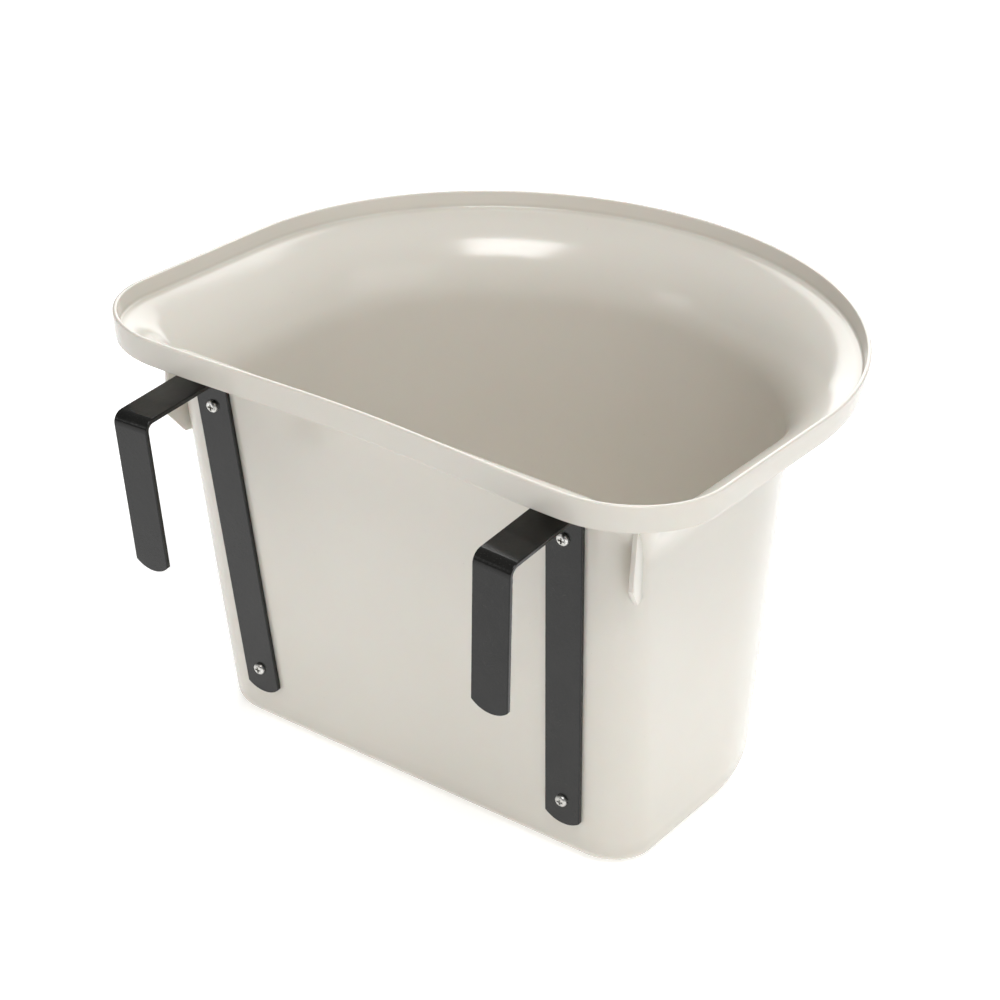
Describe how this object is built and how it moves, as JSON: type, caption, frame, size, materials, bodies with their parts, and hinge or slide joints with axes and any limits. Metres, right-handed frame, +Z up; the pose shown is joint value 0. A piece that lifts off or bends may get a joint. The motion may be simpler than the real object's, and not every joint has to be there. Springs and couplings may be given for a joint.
{
  "type": "feed bucket",
  "caption": "D-shaped plastic feed bucket with a flat back and two bent steel strap hooks that hang it over a rail, gate or stable door.",
  "frame": {"origin": "under the middle of the whole bucket's box, on the plane its floor stands on", "axes": "+Z up; -Y is the flat back with the hooks, towards the rail; X across, and X = 0 is the mirror plane"},
  "size_m": [0.4198, 0.4261, 0.29],
  "materials": {
    "tub_plastic": "moulded polypropylene, satin gloss",
    "hook_paint": "gloss black paint on steel bar",
    "zinc": "bright zinc plate"
  },
  "bodies": {
    "root": {"bucket": "tub_plastic", "left_hook": "hook_paint", "left_upper_screw": "zinc", "left_upper_washer": "zinc", "left_upper_nut": "zinc", "left_lower_screw": "zinc", "left_lower_washer": "zinc", "left_lower_nut": "zinc", "right_hook": "hook_paint", "right_upper_screw": "zinc", "right_upper_washer": "zinc", "right_upper_nut": "zinc", "right_lower_screw": "zinc", "right_lower_washer": "zinc", "right_lower_nut": "zinc"}
  },
  "joints": []
}
